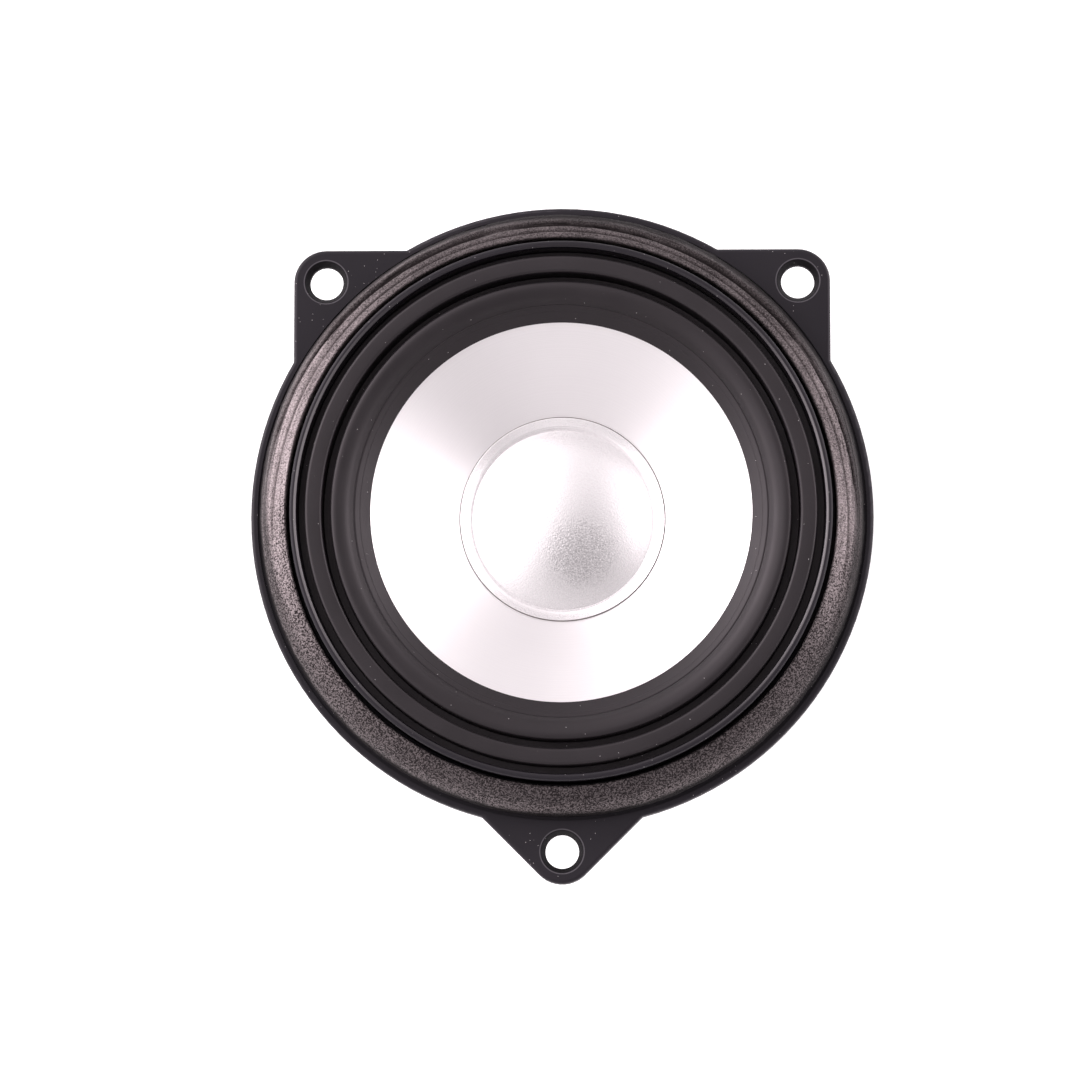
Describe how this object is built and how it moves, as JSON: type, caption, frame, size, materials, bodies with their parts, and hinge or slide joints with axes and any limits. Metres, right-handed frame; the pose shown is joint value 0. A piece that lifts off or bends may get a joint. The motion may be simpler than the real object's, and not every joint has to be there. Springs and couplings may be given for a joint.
{
  "type": "car speaker driver",
  "caption": "Car speaker driver: three-ear plastic basket, foam gasket, rubber surround, metal cone and dust cap, ring magnet behind.",
  "frame": {"origin": "on the speaker axis, at the rear face of the flange, where the driver bears on its panel", "axes": "+Z out of the front along the axis, +Y towards the two square ears, +X completes a right-handed frame"},
  "size_m": [0.102, 0.1112, 0.0463],
  "materials": {
    "black_plastic": "moulded, satin",
    "dark_phenolic": "moulded, matte",
    "foam": "open-cell foam, matte",
    "rubber": "matte",
    "spider_cloth": "resin-dipped cloth",
    "plated_steel": "zinc plated",
    "ferrite": "ground ferrite",
    "screw_steel": "zinc plated",
    "terminal_brass": "tinned brass",
    "lead_braid": "tinsel braid",
    "spun_aluminium": "spun, satin",
    "blasted_aluminium": "fine blasted",
    "former_tube": "film tube",
    "winding_copper": "enamelled wire",
    "wrap_paper": "kraft",
    "solder": "solder"
  },
  "bodies": {
    "basket": {"basket": "black_plastic", "terminal_block": "dark_phenolic", "front_gasket": "foam", "surround": "rubber", "spider": "spider_cloth", "top_plate": "plated_steel", "back_plate": "plated_steel", "pole_piece": "plated_steel", "magnet_ring": "ferrite", "basket_screws": "screw_steel", "terminal_screw": "screw_steel", "terminal_blade_positive": "terminal_brass", "terminal_blade_negative": "terminal_brass", "tinsel_lead_positive": "lead_braid", "tinsel_lead_negative": "lead_braid"},
    "cone": {"cone": "spun_aluminium", "dust_cap": "blasted_aluminium", "voice_coil_former": "former_tube", "voice_coil_winding": "winding_copper", "former_wrap": "wrap_paper", "coil_lead_pads": "solder"}
  },
  "joints": [
    {"name": "cone_travel", "type": "slide", "parent": "basket", "child": "cone", "axis": [0, 0, 1], "range_m": [-0.003, 0.003], "stiffness_N_per_m": 1100, "deforming": ["surround", "spider", "tinsel_lead_positive", "tinsel_lead_negative"]}
  ]
}
